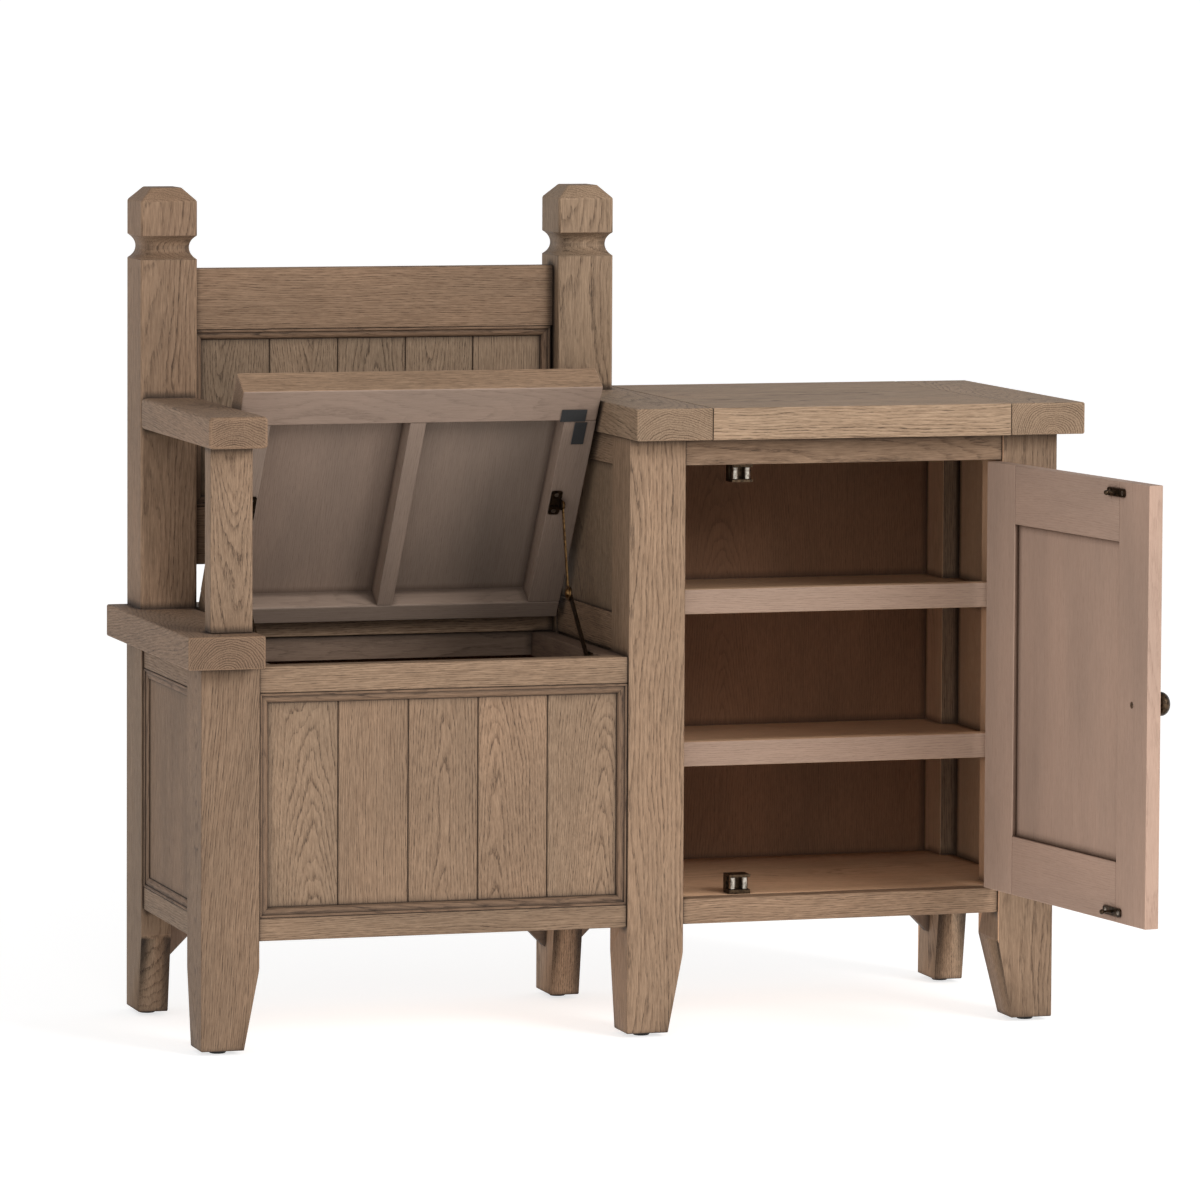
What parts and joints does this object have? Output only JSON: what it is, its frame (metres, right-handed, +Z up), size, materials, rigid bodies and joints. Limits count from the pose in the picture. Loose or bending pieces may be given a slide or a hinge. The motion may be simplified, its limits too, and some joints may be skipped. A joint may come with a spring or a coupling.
{
  "type": "storage bench with cupboard",
  "caption": "Oak hall bench with a lift-up storage seat, panelled backrest and one arm, joined to a one-door cupboard with shelves.",
  "frame": {"origin": "on the floor under the middle of the whole part's box, with the lid and the door open", "axes": "+X to the right as one faces the front, from the bench to the cupboard, +Y to the back, +Z up"},
  "size_m": [1.1016, 0.7752, 1],
  "materials": {
    "oak": "weathered matt oak",
    "oak_smooth": "smooth matt oak",
    "oak_inside": "unfinished dark oak",
    "antique_brass": "aged satin brass",
    "dark_bronze": "dark satin bronze",
    "steel": "zinc-plated steel",
    "black_rubber": "matt black",
    "felt": "short felt"
  },
  "bodies": {
    "carcass": {"arm_post": "oak", "armrest": "oak", "back_left_leg": "oak", "back_middle_leg": "oak", "back_panels": "oak_inside", "back_right_leg": "oak", "backrest_boards": "oak", "backrest_moulding": "oak", "backrest_rails": "oak", "bench_front_boards": "oak", "bench_front_rails": "oak", "bench_mouldings": "oak", "bench_side_panel": "oak", "bench_side_rails": "oak", "carcass_screws": "steel", "catch_bodies": "steel", "corner_blocks": "oak_inside", "cupboard_front_rails": "oak", "cupboard_side_panels": "oak", "cupboard_side_rails": "oak", "cupboard_top_centre": "oak", "cupboard_top_ends": "oak", "fixed_hinge_leaves": "antique_brass", "floor_boards": "oak_inside", "foot_glides": "black_rubber", "front_left_leg": "oak", "front_middle_leg": "oak", "front_right_leg": "oak", "hinge_pins": "antique_brass", "left_back_post": "oak", "lid_support_rails": "oak_inside", "lower_shelf": "oak_smooth", "rear_rails": "oak_inside", "right_back_post": "oak", "seat_left_board": "oak", "seat_rear_board": "oak", "shelf_battens": "oak_inside", "stay_box_brackets": "antique_brass", "upper_shelf": "oak_smooth"},
    "lid": {"lid_rails": "oak_smooth", "lid_stiles": "oak_smooth", "lid_muntin": "oak_smooth", "lid_panels": "oak_smooth", "lid_felt_pads": "felt", "lid_hinge_leaves": "antique_brass", "stay_lid_brackets": "antique_brass", "lid_screws": "steel"},
    "door": {"door_stiles": "oak_smooth", "door_rails": "oak_smooth", "door_panel": "oak_smooth", "door_knob": "dark_bronze", "door_hinge_leaves": "antique_brass", "catch_strikes": "steel", "door_screws": "steel"},
    "right_lower_arm": {"right_stay_lower_arm": "dark_bronze"},
    "right_upper_arm": {"right_stay_upper_arm": "antique_brass"},
    "left_lower_arm": {"left_stay_lower_arm": "dark_bronze"},
    "left_upper_arm": {"left_stay_upper_arm": "antique_brass"},
    "left_rollers": {"catch_left_rollers": "steel"},
    "right_rollers": {"catch_right_rollers": "steel"}
  },
  "joints": [
    {"name": "lid_hinge", "type": "hinge", "parent": "carcass", "child": "lid", "pos_m": [-0.23375, 0.32098, 0.4975], "axis": [1, 0, 0], "range_deg": [0, 57]},
    {"name": "door_hinge", "type": "hinge", "parent": "carcass", "child": "door", "pos_m": [0.45955, 0.00558, 0.4225], "axis": [0, 0, 1], "range_deg": [-98, 72]},
    {"name": "right_lower_arm_pivot", "type": "hinge", "parent": "carcass", "child": "right_lower_arm", "pos_m": [-0.03455, 0.08758, 0.447], "axis": [1, 0, 0], "range_deg": [-123.04, 0]},
    {"name": "right_upper_arm_pivot", "type": "hinge", "parent": "lid", "child": "right_upper_arm", "pos_m": [-0.03665, 0.18378, 0.62064], "axis": [1, 0, 0], "range_deg": [-63.36, 0]},
    {"name": "left_lower_arm_pivot", "type": "hinge", "parent": "carcass", "child": "left_lower_arm", "pos_m": [-0.43295, 0.08758, 0.447], "axis": [1, 0, 0], "range_deg": [-123.04, 0]},
    {"name": "left_upper_arm_pivot", "type": "hinge", "parent": "lid", "child": "left_upper_arm", "pos_m": [-0.43085, 0.18378, 0.62064], "axis": [1, 0, 0], "range_deg": [-63.36, 0]},
    {"name": "left_roller_slide", "type": "slide", "parent": "carcass", "child": "left_rollers", "axis": [-1, 0, 0], "range_m": [0, 0.002], "stiffness_N_per_m": 1500},
    {"name": "right_roller_slide", "type": "slide", "parent": "carcass", "child": "right_rollers", "axis": [1, 0, 0], "range_m": [0, 0.002], "stiffness_N_per_m": 1500}
  ],
  "couplings": [
    {"joint": "right_lower_arm_pivot", "follows": "lid_hinge", "ratio": -2.1498},
    {"joint": "right_upper_arm_pivot", "follows": "lid_hinge", "ratio": -1.1029},
    {"joint": "left_lower_arm_pivot", "follows": "lid_hinge", "ratio": -2.1498},
    {"joint": "left_upper_arm_pivot", "follows": "lid_hinge", "ratio": -1.1029}
  ]
}
